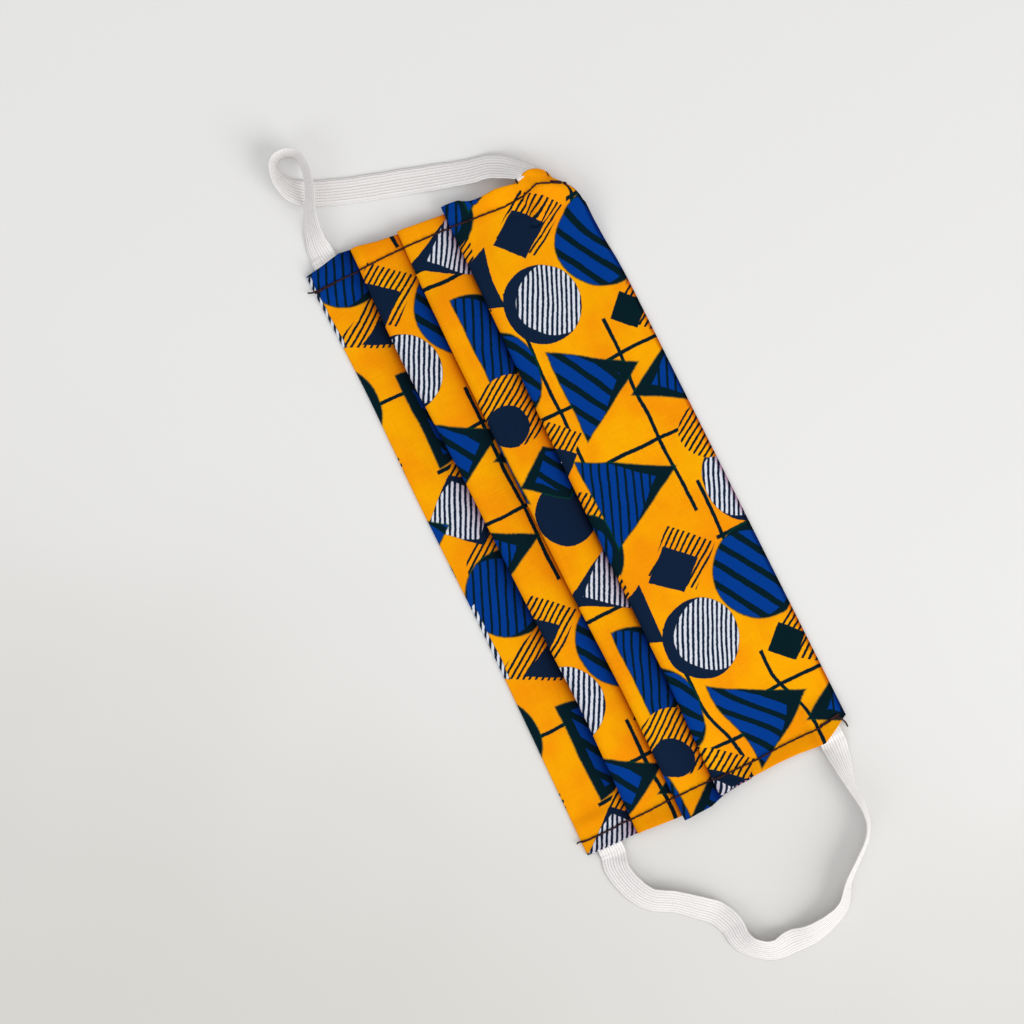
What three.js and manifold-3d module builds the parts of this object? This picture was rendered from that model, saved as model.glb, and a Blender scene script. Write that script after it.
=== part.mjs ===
// A pleated cloth face mask with two flat elastic ear loops, lying as it was put down on a table.
// Millimetres, +Z up. +X runs along the mask, +Y from its chin edge to its nose edge.
import * as THREE from "three";
import { mergeVertices } from "three/addons/utils/BufferGeometryUtils.js";
import Module from "manifold-3d";

// Cloth
const LENGTH = 200; // between the two sewn ends
const WIDTH = 89; // from the chin edge to the nose edge, pleated
const CLOTH = 1.0; // face and lining together
const LAYER_GAP = 0.3; // air between pressed layers
const PLEAT_PITCH = 15; // from one pleat's fold edge to the next
const PLEAT_DEPTH = 10; // how far each pleat is tucked in
const END_STEP = 4; // scale of the unevenness of the two ends
const DRAPE_RUN = 16; // how far the nose panel takes to come down to the table

// Elastic
const ELASTIC_WIDTH = 8;
const ELASTIC_THICK = 1.0;
const ELASTIC_INSET = 3; // from the long edge to the side of the elastic
const LEFT_REACH = 36.5; // how far the left loop lies out from the end
const RIGHT_REACH = 52;

// Pockets that the elastic is sewn into
const POCKET_DEPTH = 8;
const POCKET_LEAD = 2; // how far the elastic runs on straight outside the end
const POCKET_WALL = 0.7;
const CLEARANCE = 0.3;
const PAD_RUN = 5; // how far the thick corner takes to thin out along the mask
const PAD_SLOPE = 2.2; // and across it
const CUT_OVERRUN = 3; // how far a cutter runs out of the cloth

// The bent corner at the left end of the nose edge
const BEND_ALONG = 17; // from the corner to where the bend starts, along the nose edge
const BEND_DOWN = 17; // and down the end
const BEND_RISE = 5.2; // height of the ridge behind the bent corner
const BEND_RUN = 15; // how far the ridge takes to rise
const BEND_REACH = 3.9; // how far the bent corner reaches past the ridge
const BEND_DROP = 4.9;

// Fineness of the mesh
const STATIONS = 32;
const TURN_STEPS = 3;
const STEPS_PER_ROW = 2;

const PLEATS = 3;
const LEVEL = CLOTH + LAYER_GAP;
const FOLD_RADIUS = LEVEL / 2;
const FOLD_OVERHANG = FOLD_RADIUS + CLOTH / 2;
const PAD_THICK = ELASTIC_THICK + 2 * (CLEARANCE + POCKET_WALL);
const PAD_EXTRA = PAD_THICK - CLOTH;
const PAD_LENGTH = POCKET_DEPTH + CLEARANCE + POCKET_WALL;

// Where the long lines run: shares of the pleat pitch off their even places, along the mask from -1 to 1
const LINE_WANDER = [
  { along: -1.0, chin: 0.05, fold1: 0.1, fold2: 0.12, fold3: 0.15, nose: -0.12 },
  { along: -0.8, chin: 0.08, fold1: 0.04, fold2: 0.06, fold3: 0.12, nose: -0.1 },
  { along: -0.6, chin: 0.1, fold1: 0.01, fold2: 0.03, fold3: 0.09, nose: 0 },
  { along: -0.2, chin: 0.04, fold1: 0.07, fold2: 0.01, fold3: 0.02, nose: 0 },
  { along: 0.2, chin: 0.04, fold1: 0.07, fold2: 0, fold3: -0.01, nose: 0 },
  { along: 0.6, chin: -0.02, fold1: 0.11, fold2: 0.04, fold3: -0.04, nose: 0 },
  { along: 1.0, chin: -0.09, fold1: 0.01, fold2: 0, fold3: -0.13, nose: 0 },
];

// How far each end stands out of its even line, in shares of END_STEP. A place counts the folds that the cloth
// has passed: 0 is the chin edge, odd places are the tucked folds, 2, 4 and 6 the visible ones, 7 the nose edge.
const END_OUTLINE = [
  { place: 0, left: -0.1, right: -0.1 },
  { place: 0.2, left: 0.05, right: -0.05 },
  { place: 0.46, left: 0.37, right: 0 },
  { place: 0.64, left: 0.2, right: 0.05 },
  { place: 1, left: -0.35, right: -0.3 },
  { place: 2, left: 0.2, right: 0.05 },
  { place: 2.32, left: -0.18, right: 0.2 },
  { place: 2.58, left: -0.38, right: 0.33 },
  { place: 3, left: -0.6, right: -0.1 },
  { place: 4, left: -0.22, right: 0.72 },
  { place: 4.35, left: -0.42, right: 0.68 },
  { place: 4.6, left: -0.6, right: 0.3 },
  { place: 5, left: -0.75, right: 0.17 },
  { place: 6, left: -0.05, right: 0.22 },
  { place: 6.12, left: -0.14, right: 0.04 },
  { place: 6.45, left: -0.42, right: 0.04 },
  { place: 6.6, left: -0.95, right: 0.12 },
  { place: 6.7, left: -0.5, right: 0.25 },
  { place: 6.8, left: -0.5, right: 0.33 },
  { place: 7, left: -0.5, right: -0.9 },
];

// The elastic's route from the chin pocket to the nose pocket. out: share of the loop's reach. across: share of
// the way between the pockets. roll: degrees, 0 flat and 90 on edge. hop: height over its rest, share of its width.
const LEFT_ROUTE = [
  { out: 0.1, across: 0, roll: 12, hop: 0 },
  { out: 0.24, across: 0.006, roll: 38, hop: 0 },
  { out: 0.43, across: 0.036, roll: 58, hop: 0.14 },
  { out: 0.63, across: 0.089, roll: 66, hop: 0.34 },
  { out: 0.82, across: 0.109, roll: 72, hop: 0.16 },
  { out: 0.95, across: 0.096, roll: 77, hop: 0 },
  { out: 1.0, across: 0.052, roll: 79, hop: 0 },
  { out: 0.98, across: -0.003, roll: 79, hop: 0 },
  { out: 0.86, across: -0.022, roll: 64, hop: 0 },
  { out: 0.715, across: 0.003, roll: 34, hop: 0 },
  { out: 0.63, across: 0.053, roll: 8, hop: 0 },
  { out: 0.58, across: 0.11, roll: 2, hop: 0 },
  { out: 0.5, across: 0.218, roll: 0, hop: 0 },
  { out: 0.44, across: 0.311, roll: 0, hop: 0 },
  { out: 0.36, across: 0.447, roll: 0, hop: 0 },
  { out: 0.25, across: 0.63, roll: 6, hop: 0 },
  { out: 0.175, across: 0.757, roll: 14, hop: 0 },
  { out: 0.12, across: 0.844, roll: 24, hop: 0 },
  { out: 0.06, across: 0.92, roll: 28, hop: 0.06 },
];
const RIGHT_ROUTE = [
  { out: 0.07, across: -0.004, roll: 8, hop: 0 },
  { out: 0.14, across: -0.014, roll: 15, hop: 0 },
  { out: 0.29, across: 0.01, roll: 21, hop: 0 },
  { out: 0.39, across: 0.054, roll: 24, hop: 0 },
  { out: 0.47, across: 0.14, roll: 26, hop: 0 },
  { out: 0.57, across: 0.219, roll: 22, hop: 0 },
  { out: 0.64, across: 0.268, roll: 14, hop: 0 },
  { out: 0.74, across: 0.3, roll: 22, hop: 0 },
  { out: 0.84, across: 0.306, roll: 30, hop: 0 },
  { out: 0.92, across: 0.339, roll: 38, hop: 0 },
  { out: 0.985, across: 0.408, roll: 32, hop: 0 },
  { out: 0.99, across: 0.493, roll: 16, hop: 0 },
  { out: 1.0, across: 0.575, roll: 32, hop: 0 },
  { out: 0.975, across: 0.674, roll: 46, hop: 0 },
  { out: 0.93, across: 0.74, roll: 56, hop: 0 },
  { out: 0.815, across: 0.802, roll: 69, hop: 0 },
  { out: 0.72, across: 0.88, roll: 72, hop: 0 },
  { out: 0.63, across: 0.948, roll: 75, hop: 0 },
  { out: 0.545, across: 0.98, roll: 76, hop: 0 },
  { out: 0.45, across: 0.99, roll: 72, hop: 0 },
  { out: 0.31, across: 0.986, roll: 62, hop: 0 },
  { out: 0.2, across: 0.99, roll: 42, hop: 0 },
  { out: 0.11, across: 0.996, roll: 20, hop: 0 },
];

const ease = (share) => THREE.MathUtils.smoothstep(share, 0, 1);

// A value of a table's column at a place between its rows
function read(table, key, at, column) {
  const after = table.findIndex((row) => row[key] >= at);
  if (after <= 0) {
    return table[after === 0 ? 0 : table.length - 1][column];
  }
  const [low, high] = [table[after - 1], table[after]];
  const share = (at - low[key]) / (high[key] - low[key]);
  return THREE.MathUtils.lerp(low[column], high[column], share);
}

const wander = (x, column) => PLEAT_PITCH * read(LINE_WANDER, "along", x / (LENGTH / 2), column);
const chinEdge = (x) => wander(x, "chin");
const noseEdge = (x) => WIDTH + wander(x, "nose");
const foldEdge = (x, pleat) => pleat * PLEAT_PITCH + wander(x, `fold${pleat}`);

// The table's surface as the bent corner lifts it: a ridge across the corner, with the tip turned down past it
function bentGround(x, y) {
  const corner = new THREE.Vector2(-LENGTH / 2, WIDTH);
  const start = new THREE.Vector2(corner.x, corner.y - BEND_DOWN);
  const end = new THREE.Vector2(corner.x + BEND_ALONG, corner.y);
  const along = end.clone().sub(start).normalize();
  const outward = new THREE.Vector2(-along.y, along.x);
  const span = corner.clone().sub(start).dot(outward);
  const past = new THREE.Vector2(x, y).sub(start).dot(outward);
  if (past <= 0) {
    return new THREE.Vector3(x, y, BEND_RISE * ease(1 + past / BEND_RUN));
  }
  const turn = (Math.PI / 2) * Math.min(1, past / span);
  const pulled = BEND_REACH * Math.sin(turn) - past;
  const height = BEND_RISE - BEND_DROP * (1 - Math.cos(turn));
  return new THREE.Vector3(x + pulled * outward.x, y + pulled * outward.y, height);
}

// A point of the mask as it would lie on a flat table, carried over to the bent ground
function bend(x, y, z) {
  const probe = 0.5;
  const across = bentGround(x + probe, y).sub(bentGround(x - probe, y));
  const up = bentGround(x, y + probe).sub(bentGround(x, y - probe));
  const normal = across.cross(up).normalize();
  return bentGround(x, y).addScaledVector(normal, z);
}

// One section of the cloth: points with their height, the direction through the cloth, and their place
class Section {
  constructor() {
    this.points = [];
  }

  // Straight cloth; the direction through it points to its face, which is on the left of the way it runs
  run(from, to, steps, startPlace, endPlace) {
    const [dy, dz] = [to[0] - from[0], to[1] - from[1]];
    const length = Math.hypot(dy, dz);
    const first = this.points.length === 0 ? 0 : 1;
    for (let i = first; i <= steps; i += 1) {
      const share = i / steps;
      this.points.push({
        y: THREE.MathUtils.lerp(from[0], to[0], share),
        z: THREE.MathUtils.lerp(from[1], to[1], share),
        ny: -dz / length,
        nz: dy / length,
        place: THREE.MathUtils.lerp(startPlace, endPlace, share),
      });
    }
  }

  // Half a circle upwards from where the last run ended; side is the way that it bulges along Y
  turn(side, place) {
    const { y, z } = this.points[this.points.length - 1];
    for (let i = 1; i <= TURN_STEPS; i += 1) {
      const angle = (Math.PI * i) / TURN_STEPS;
      this.points.push({
        y: y + side * FOLD_RADIUS * Math.sin(angle),
        z: z + FOLD_RADIUS * (1 - Math.cos(angle)),
        ny: -Math.sin(angle),
        nz: side * Math.cos(angle),
        place,
      });
    }
  }
}

// The pleats lean on each other: each panel comes down from over its own tuck to under the next one
function sectionAt(x) {
  const ground = CLOTH / 2;
  const padEnd = ELASTIC_INSET + ELASTIC_WIDTH + CLEARANCE + PAD_SLOPE;
  const chin = chinEdge(x);
  const nose = noseEdge(x);
  const section = new Section();
  const padSteps = 6;
  section.run([chin, ground], [chin + padEnd, ground], padSteps, 0, 0.5);
  let from = [chin + padEnd, ground];
  let place = 0.5;
  const width = nose - foldEdge(x, PLEATS);
  const placeAt = (y) => 2 * PLEATS + (y - foldEdge(x, PLEATS)) / width;
  for (let pleat = 1; pleat <= PLEATS; pleat += 1) {
    const outer = foldEdge(x, pleat) + FOLD_OVERHANG;
    const inner = outer + PLEAT_DEPTH;
    const slope = (from[1] - ground) / (inner - from[0]);
    const underFold = ground + slope * PLEAT_DEPTH;
    const tucked = 2 * pleat - 1;
    section.run(from, [inner, ground], 2, place, tucked);
    section.turn(1, tucked);
    section.run([inner, ground + LEVEL], [outer, underFold + LEVEL], 2, tucked, tucked + 1);
    section.turn(-1, tucked + 1);
    const covered = PLEAT_DEPTH / (PLEAT_DEPTH + PLEAT_PITCH);
    place = pleat < PLEATS ? tucked + 1 + covered : placeAt(inner);
    from = [inner, ground + 2 * LEVEL];
    section.run([outer, underFold + 2 * LEVEL], from, 2, tucked + 1, place);
  }
  const drapeSteps = 4;
  for (let i = 1; i <= drapeSteps; i += 1) {
    const next = [from[0] + DRAPE_RUN / drapeSteps, ground + 2 * LEVEL * (1 - ease(i / drapeSteps))];
    section.run(from, next, 1, place, placeAt(next[0]));
    from = next;
    place = placeAt(next[0]);
  }
  section.run(from, [nose - padEnd, ground], 2, place, placeAt(nose - padEnd));
  section.run([nose - padEnd, ground], [nose, ground], padSteps, placeAt(nose - padEnd), 2 * PLEATS + 1);
  return section.points;
}

// Extra thickness of the corners, where the elastic lies between the plies
function padAt(x, y, place) {
  const inner = place > 0.5 && place < 2 * PLEATS + 0.5;
  const fromEnd = LENGTH / 2 - Math.abs(x);
  const fromEdge = Math.min(y - chinEdge(x), noseEdge(x) - y);
  const alongShare = ease(1 - (fromEnd - PAD_LENGTH) / PAD_RUN);
  const padWidth = ELASTIC_INSET + ELASTIC_WIDTH + CLEARANCE;
  const acrossShare = ease(1 - (fromEdge - padWidth) / PAD_SLOPE);
  return inner ? 0 : PAD_EXTRA * alongShare * acrossShare;
}

function endLine(side, place) {
  const column = side < 0 ? "left" : "right";
  return side * (LENGTH / 2 + END_STEP * read(END_OUTLINE, "place", place, column));
}

// The cloth: two skins with the edges closed, from one section at each station along the mask
function panelGeometry() {
  const positions = [];
  const index = [];
  let count = 0;
  for (let station = 0; station <= STATIONS; station += 1) {
    const along = 0.5 - 0.5 * Math.cos((Math.PI * station) / STATIONS);
    const points = sectionAt(THREE.MathUtils.lerp(-LENGTH / 2, LENGTH / 2, along));
    count = points.length;
    for (const skin of [-1, 1]) {
      for (const point of points) {
        const x = THREE.MathUtils.lerp(endLine(-1, point.place), endLine(1, point.place), along);
        const extra = skin > 0 ? padAt(x, point.y, point.place) : 0;
        const offset = skin * (CLOTH / 2) + extra;
        const at = bend(x, point.y + offset * point.ny, point.z + offset * point.nz);
        positions.push(at.x, at.y, at.z);
      }
    }
  }
  const at = (station, skin, i) => (2 * station + skin) * count + i;
  const quad = (a, b, c, d) => index.push(a, b, c, a, c, d);
  for (let station = 0; station < STATIONS; station += 1) {
    const next = station + 1;
    for (let i = 0; i < count - 1; i += 1) {
      quad(at(station, 1, i), at(next, 1, i), at(next, 1, i + 1), at(station, 1, i + 1));
      quad(at(station, 0, i), at(station, 0, i + 1), at(next, 0, i + 1), at(next, 0, i));
    }
    const last = count - 1;
    quad(at(station, 0, 0), at(next, 0, 0), at(next, 1, 0), at(station, 1, 0));
    quad(at(station, 0, last), at(station, 1, last), at(next, 1, last), at(next, 0, last));
  }
  for (let i = 0; i < count - 1; i += 1) {
    quad(at(0, 0, i), at(0, 1, i), at(0, 1, i + 1), at(0, 0, i + 1));
    quad(at(STATIONS, 0, i), at(STATIONS, 0, i + 1), at(STATIONS, 1, i + 1), at(STATIONS, 1, i));
  }
  return indexed(positions, index);
}

function indexed(positions, index) {
  const geometry = new THREE.BufferGeometry();
  geometry.setAttribute("position", new THREE.Float32BufferAttribute(positions, 3));
  geometry.setIndex(index);
  return geometry;
}

// The places of the elastic in a pocket, from outside its mouth inwards. edge is "chin" or "nose".
function pocketRows(side, edge) {
  const middle = ELASTIC_INSET + ELASTIC_WIDTH / 2;
  const end = (side * LENGTH) / 2;
  const y = edge === "chin" ? chinEdge(end) + middle : noseEdge(end) - middle;
  const height = PAD_THICK / 2;
  const probe = 0.5;
  return [0, 0.25, 0.5, 0.75, 1].map((share) => {
    const x = end + side * (POCKET_LEAD - share * (POCKET_DEPTH + POCKET_LEAD));
    const across = bend(x, y + probe, height).sub(bend(x, y - probe, height)).normalize();
    return { at: bend(x, y, height), across };
  });
}

// Route rows as centres with the direction across the band; a band that lies by itself rests on the table
function routeRows(side, reach, route) {
  const chin = pocketRows(side, "chin");
  const nose = pocketRows(side, "nose");
  const flat = route.map(({ out, across }) => {
    const x = side * (LENGTH / 2 + out * reach);
    return new THREE.Vector3(x, THREE.MathUtils.lerp(chin[0].at.y, nose[0].at.y, across), 0);
  });
  const rows = route.map(({ roll, hop }, i) => {
    const before = i === 0 ? chin[0].at : flat[i - 1];
    const after = i === flat.length - 1 ? nose[0].at : flat[i + 1];
    const heading = after.clone().sub(before).setZ(0).normalize();
    const angle = THREE.MathUtils.degToRad(roll);
    const level = new THREE.Vector3(-heading.y, heading.x, 0).multiplyScalar(side);
    const across = level.multiplyScalar(Math.cos(angle)).setZ(Math.sin(angle));
    const rest = (ELASTIC_WIDTH * Math.sin(angle) + ELASTIC_THICK * Math.cos(angle)) / 2;
    return { at: flat[i].clone().setZ(rest + hop * ELASTIC_WIDTH), across };
  });
  const flip = (row) => ({ at: row.at, across: row.across.clone().negate() });
  return [...chin.toReversed(), ...rows, ...nose.map(flip)];
}

// How far a stretch of band is lifted so that its lower side is on the table and not under it
function liftToTable(centre, across, through, width, thick) {
  const reach = (Math.abs(across.z) * width + Math.abs(through.z) * thick) / 2;
  return Math.max(0, reach - centre.z);
}

// A flat band through rows of centres, closed at both ends
function bandGeometry(rows, width, thick) {
  const centres = new THREE.CatmullRomCurve3(rows.map((row) => row.at));
  const sides = new THREE.CatmullRomCurve3(rows.map((row) => row.across));
  const steps = STEPS_PER_ROW * (rows.length - 1);
  const positions = [];
  const index = [];
  for (let i = 0; i <= steps; i += 1) {
    const centre = centres.getPoint(i / steps);
    const tangent = centres.getTangent(i / steps);
    const across = sides.getPoint(i / steps);
    across.addScaledVector(tangent, -across.dot(tangent)).normalize();
    const through = new THREE.Vector3().crossVectors(tangent, across);
    centre.z += liftToTable(centre, across, through, width, thick);
    for (const [a, b] of [[-1, -1], [1, -1], [1, 1], [-1, 1]]) {
      const corner = centre.clone().addScaledVector(across, (a * width) / 2);
      corner.addScaledVector(through, (b * thick) / 2);
      positions.push(corner.x, corner.y, corner.z);
    }
  }
  const quad = (a, b, c, d) => index.push(a, b, c, a, c, d);
  for (let i = 0; i < steps; i += 1) {
    for (let side = 0; side < 4; side += 1) {
      const next = (side + 1) % 4;
      quad(4 * i + side, 4 * i + next, 4 * (i + 1) + next, 4 * (i + 1) + side);
    }
  }
  quad(3, 2, 1, 0);
  quad(4 * steps, 4 * steps + 1, 4 * steps + 2, 4 * steps + 3);
  return indexed(positions, index);
}

// The hollow that one sewn-in end of the elastic leaves in the cloth
function pocketCutter(side, edge) {
  const rows = pocketRows(side, edge);
  const [mouth, inside] = [rows[0].at, rows[1].at];
  const outward = mouth.clone().sub(inside).normalize();
  const outside = { at: mouth.clone().addScaledVector(outward, CUT_OVERRUN), across: rows[0].across };
  const last = rows[rows.length - 1];
  const inward = last.at.clone().sub(rows[rows.length - 2].at).normalize();
  const deepest = { at: last.at.clone().addScaledVector(inward, CLEARANCE), across: last.across };
  const path = [outside, ...rows.slice(0, -1), deepest];
  return bandGeometry(path, ELASTIC_WIDTH + 2 * CLEARANCE, ELASTIC_THICK + 2 * CLEARANCE);
}

const wasm = await Module();
wasm.setup();

function toSolid(geometry) {
  const merged = mergeVertices(geometry);
  const vertProperties = Float32Array.from(merged.attributes.position.array);
  const triVerts = Uint32Array.from(merged.index.array);
  return new wasm.Manifold(new wasm.Mesh({ numProp: 3, vertProperties, triVerts }));
}

function fromSolid(solid) {
  const mesh = solid.getMesh();
  return indexed(Array.from(mesh.vertProperties), Array.from(mesh.triVerts));
}

function cutPanel() {
  let solid = toSolid(panelGeometry());
  for (const side of [-1, 1]) {
    for (const edge of ["chin", "nose"]) {
      solid = solid.subtract(toSolid(pocketCutter(side, edge)));
    }
  }
  return fromSolid(solid);
}

function named(name, geometry, color, roughness) {
  geometry.computeVertexNormals();
  const material = new THREE.MeshStandardMaterial({ color, roughness, metalness: 0 });
  const mesh = new THREE.Mesh(geometry, material);
  mesh.name = name;
  return mesh;
}

// The origin is under the middle of the whole mask, on the table
function centred(group) {
  const box = new THREE.Box3().setFromObject(group);
  const middle = box.getCenter(new THREE.Vector3());
  group.position.set(-middle.x, -middle.y, -box.min.z);
  group.updateMatrixWorld(true);
  return group;
}

function earLoop(side, reach, route) {
  return bandGeometry(routeRows(side, reach, route), ELASTIC_WIDTH, ELASTIC_THICK);
}

const mask = new THREE.Group();
mask.add(named("pleated_panel", cutPanel(), "#f5a300", 0.85));
mask.add(named("ear_loop_left", earLoop(-1, LEFT_REACH, LEFT_ROUTE), "#f2f1ee", 0.7));
mask.add(named("ear_loop_right", earLoop(1, RIGHT_REACH, RIGHT_ROUTE), "#f2f1ee", 0.7));

export default centred(mask);
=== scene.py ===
"""A pleated cloth face mask with two flat elastic ear loops, lying on a pale table.

Sizes are in millimetres until a mesh is made. The mask is worked out along the same tables as the CAD
part: x runs along the mask from its middle, y from the chin edge to the nose edge, z up from the table.
SHIFT then moves it to the CAD's origin.
"""

import math
from typing import NamedTuple

import bpy
import numpy as np
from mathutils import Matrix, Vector, noise
from mathutils.bvhtree import BVHTree


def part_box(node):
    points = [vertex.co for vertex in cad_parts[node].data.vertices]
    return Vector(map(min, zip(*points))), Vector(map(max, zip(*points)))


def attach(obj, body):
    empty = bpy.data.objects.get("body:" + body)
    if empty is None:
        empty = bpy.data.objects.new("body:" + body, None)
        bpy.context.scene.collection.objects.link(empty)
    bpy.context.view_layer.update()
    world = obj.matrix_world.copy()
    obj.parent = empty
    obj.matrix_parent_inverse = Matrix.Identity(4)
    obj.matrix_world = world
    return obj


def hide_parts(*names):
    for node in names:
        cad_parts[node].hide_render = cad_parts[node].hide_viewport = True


MM = 0.001

# Cloth
LENGTH = 200.0
WIDTH = 89.0
CLOTH = 0.7
END_STEP = 4.0  # scale of the unevenness of the two ends
GROUND = CLOTH / 2 + 0.02

# Pleats
PLEATS = 3
PLEAT_PITCH = 15.0
PLEAT_DEPTH = 10.0
LEVEL_MIDDLE = 1.8  # from one layer to the next, between the ends
LEVEL_SEWN = 0.95  # and where the stitching presses them together
LEVEL_RUN = 22.0
PLEAT_RUN = 13.0  # how far the cloth takes to come down from a pleat
DRAPE_RUN = 16.0
FOLD_ROLL = 1.7  # how far a fold edge bulges
TUCK_ROLL = 0.8
# Painted shade: the cloth's colour is darkened under and beside each fold over these distances
FOLD_SHADE = 2.6  # how far the dark of a fold reaches over the cloth below it
ROLL_SHADE = 0.9

# Rise of the cloth off the table
WAVE_RISE = 0.9
WAVE_SIZE = (34.0, 22.0)
FINE_RISE = 0.2
FINE_SIZE = (13.0, 9.0)
GATHER_RISE = 0.3
GATHER_RUN = 9.0

# Stitching
SEAM_INSET = 6.0
HEM_CURL = 0.8
# Painted shade darkening the hems beyond the stitching rows
HEM_SHADE = 0.22
STITCH = 3.1
STITCH_POINTS = 10
THREAD_RADIUS = 0.3
THREAD_SIDES = 7
KNOT_RINGS = 8
KNOT_SIDES = 10
THREAD_JOG = 0.22  # how far a hole stands off the row's line
PINCH_DEPTH = 0.17
PINCH_WIDTH = 0.9
KNOT_PLACE = (-89.2, 84.6)
KNOT_RADIUS = 0.62

# Elastic
ELASTIC_WIDTH = 8.0
ELASTIC_THICK = 0.85
ELASTIC_INSET = 3.0
ELASTIC_HEIGHT = 1.0
ELASTIC_RIBS = 9
RIB_POINTS = 5
LEFT_REACH = 36.5
RIGHT_REACH = 52.0
POCKET_DEPTH = 8.0
POCKET_LEAD = 2.0
POCKET_ROWS = 5
POCKET_THIN = 0.35  # share of the elastic's thickness above and below its middle in the pocket
BAND_STEPS = 13  # between two places of a loop
BACK_COORD = 20  # added to the coordinate across the band on its back

# Thick corners
PAD_EXTRA = 0.95
PAD_LENGTH = 9.0
PAD_RUN = 4.0
PAD_SLOPE = 1.6
PAD_RIM = 0.35  # share of the thickness that is left at the very edge

# Bent corner: it rolls over a curve round a centre
BEND_CENTRE = (-82.2, 70.6)
BEND_RADIUS = 11.4
BEND_WIDEN = 5.0
BEND_SPAN = 11.1
BEND_RISE = 5.2
BEND_RUN = 15.0
BEND_REACH = 2.5
BEND_DROP = 4.9
BEND_TIP = 0.1  # slope of the cloth past the bend
BEND_FADE = 0.9  # how fast the bend ends beside its centre
BENT_POCKET = -4.4  # how far the elastic's pocket is moved towards the nose edge
BENT_LEAD = -3.5  # where the elastic comes out from under the bent hem
CORNER_START = (-78.0, 58.0)
CREASE_START = (-99.0, 70.2)
CREASE_WAY = (0.55, 0.83)
CREASE_LENGTH = 9.5
CREASE_WIDTH = 0.8
CREASE_DEPTH = 0.9

# The camera looks straight down at this place, turned by this angle, and sees this width
VIEW_CENTRE = (-15.0, -18.9)
VIEW_ANGLE = 63.44
VIEW_WIDTH = 317.4
LENS = 85.0
SENSOR = 36.0


def table_of(kind, table):
    """A table with named columns."""
    return [kind(*row) for row in table]


class LineRow(NamedTuple):
    """Shares of the pleat pitch by which the long lines leave their even places.

    Along runs from -1 at the left end to 1 at the right one.
    """

    along: float
    chin: float
    fold1: float
    fold2: float
    fold3: float
    nose: float


LINES = table_of(LineRow, [
    (-1.0, 0.05, 0.10, 0.12, 0.15, -0.12),
    (-0.8, 0.08, 0.04, 0.06, 0.12, -0.10),
    (-0.6, 0.10, 0.01, 0.03, 0.09, 0.0),
    (-0.2, 0.04, 0.07, 0.01, 0.02, 0.0),
    (0.2, 0.04, 0.07, 0.0, -0.01, 0.0),
    (0.6, -0.02, 0.11, 0.04, -0.04, 0.0),
    (1.0, -0.09, 0.01, 0.0, -0.13, 0.0),
])


class EndRow(NamedTuple):
    """Shares of END_STEP by which the ends stand out at a place in the cloth's folding."""

    place: float
    left: float
    right: float


ENDS = table_of(EndRow, [
    (0, -0.1, -0.1),
    (0.2, 0.05, -0.05),
    (0.46, 0.37, 0),
    (0.64, 0.2, 0.05),
    (1, -0.35, -0.3),
    (2, 0.2, 0.05),
    (2.32, -0.18, 0.2),
    (2.58, -0.38, 0.33),
    (3, -0.6, -0.1),
    (4, -0.22, 0.72),
    (4.35, -0.42, 0.68),
    (4.6, -0.6, 0.3),
    (5, -0.75, 0.17),
    (6, -0.05, 0.22),
    (6.12, -0.14, 0.04),
    (6.45, -0.42, 0.04),
    (6.6, -0.95, 0.12),
    (6.7, -0.5, 0.25),
    (6.8, -0.5, 0.33),
    (7, -0.5, -0.9),
])


class RouteRow(NamedTuple):
    """A place of an ear loop.

    Out is a share of the loop's reach, across of the way between its ends, roll is in degrees, and hop is
    the share of the band's width that it stands off the table.
    """

    out: float
    across: float
    roll: float
    hop: float = 0.0


LEFT_ROUTE = table_of(RouteRow, [
    (0.1, 0, 12),
    (0.24, 0.006, 38),
    (0.43, 0.036, 58, 0.14),
    (0.63, 0.089, 66, 0.34),
    (0.82, 0.109, 72, 0.16),
    (0.95, 0.096, 77),
    (1.0, 0.052, 79),
    (0.98, -0.003, 79),
    (0.86, -0.022, 64),
    (0.715, 0.003, 34),
    (0.63, 0.053, 8),
    (0.58, 0.11, 2),
    (0.5, 0.218, 0),
    (0.44, 0.311, 0),
    (0.36, 0.447, 0),
    (0.25, 0.63, 6),
    (0.175, 0.757, 14),
    (0.115, 0.87, 18, 0.12),
])
RIGHT_ROUTE = table_of(RouteRow, [
    (0.07, -0.004, 8),
    (0.14, -0.014, 15),
    (0.29, 0.01, 21),
    (0.39, 0.054, 24),
    (0.47, 0.14, 26),
    (0.57, 0.219, 22),
    (0.64, 0.268, 14),
    (0.74, 0.3, 22),
    (0.84, 0.306, 30),
    (0.92, 0.339, 38),
    (0.985, 0.408, 32),
    (0.99, 0.493, 16),
    (1.0, 0.575, 32),
    (0.975, 0.674, 46),
    (0.93, 0.74, 56),
    (0.815, 0.802, 69),
    (0.72, 0.88, 72),
    (0.63, 0.948, 75),
    (0.545, 0.98, 76),
    (0.45, 0.99, 72),
    (0.31, 0.986, 62),
    (0.2, 0.99, 42),
    (0.11, 0.996, 20),
])


class SeamRow(NamedTuple):
    """A place of a stitch row."""

    x: float
    y: float


LEFT_SEAM = table_of(SeamRow, [
    (-94.2, -0.6),
    (-94.0, 24.5),
    (-93.7, 30.7),
    (-92.9, 45.4),
    (-91.5, 64.9),
    (-91.7, 71.9),
    (-92.9, 76.7),
    (-91.2, 80.7),
    (-89.4, 84.4),
])
RIGHT_SEAM = table_of(SeamRow, [
    (94.9, -2.4),
    (95.3, 8.6),
    (95.6, 21.6),
    (95.3, 29.5),
    (95.3, 42.0),
    (95.9, 58.9),
    (96.0, 67.6),
    (96.4, 79.5),
    (95.3, 87.9),
])


class Seam(NamedTuple):
    """A stitch row, where its holes' unevenness starts, and how far it is sewn back at its nose end."""

    rows: list
    phase: float
    back: float


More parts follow.
